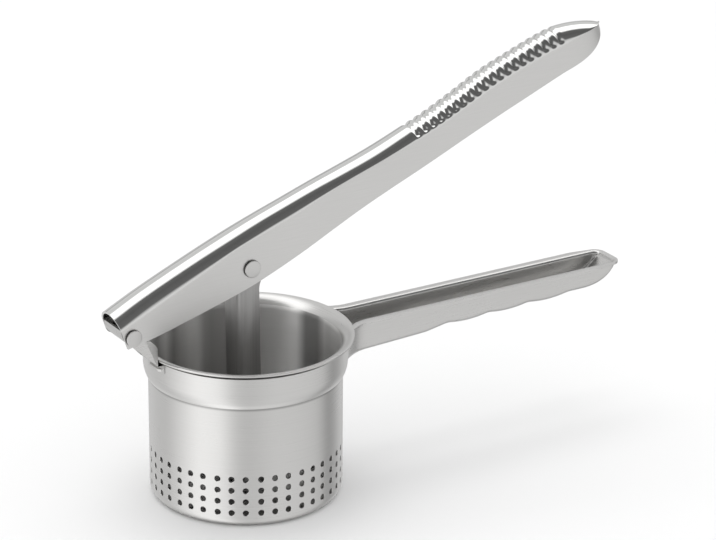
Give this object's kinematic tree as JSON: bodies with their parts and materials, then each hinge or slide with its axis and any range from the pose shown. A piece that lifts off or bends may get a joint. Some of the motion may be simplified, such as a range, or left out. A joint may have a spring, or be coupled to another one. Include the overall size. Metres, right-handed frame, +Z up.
{
  "type": "potato press",
  "caption": "Hinged potato press: perforated cup in a collar ring with a trough handle, and a channel lever that drives a disc plunger down into the cup.",
  "frame": {"origin": "on the cup's axis, in the flat face that the cup stands on", "axes": "+Z up along the cup's axis, +X along the handles towards their tips, Y along both pins"},
  "size_m": [0.259, 0.094, 0.1852],
  "materials": {
    "cup_steel": "satin, brushed round the cup",
    "frame_steel": "satin",
    "lever_steel": "satin sides, polished crown",
    "pin_steel": "satin",
    "plunger_steel": "satin"
  },
  "bodies": {
    "press_frame": {"basket": "cup_steel", "collar_ring": "frame_steel", "lower_handle": "frame_steel", "hinge_bracket": "frame_steel", "hinge_pin": "pin_steel"},
    "top_lever": {"lever": "lever_steel", "plunger_pin": "pin_steel"},
    "plunger": {"plunger_stem": "plunger_steel", "plunger_disc": "plunger_steel"}
  },
  "joints": [
    {"name": "lever_hinge", "type": "hinge", "parent": "press_frame", "child": "top_lever", "pos_m": [-0.0589, 0, 0.086], "axis": [0, -1, 0], "range_deg": [-22, 12]},
    {"name": "plunger_hinge", "type": "hinge", "parent": "top_lever", "child": "plunger", "pos_m": [-0.00129, 0, 0.10523], "axis": [0, -1, 0], "range_deg": [-10, 18.5]}
  ],
  "couplings": [
    {"joint": "plunger_hinge", "follows": "lever_hinge", "ratio": -0.825}
  ]
}
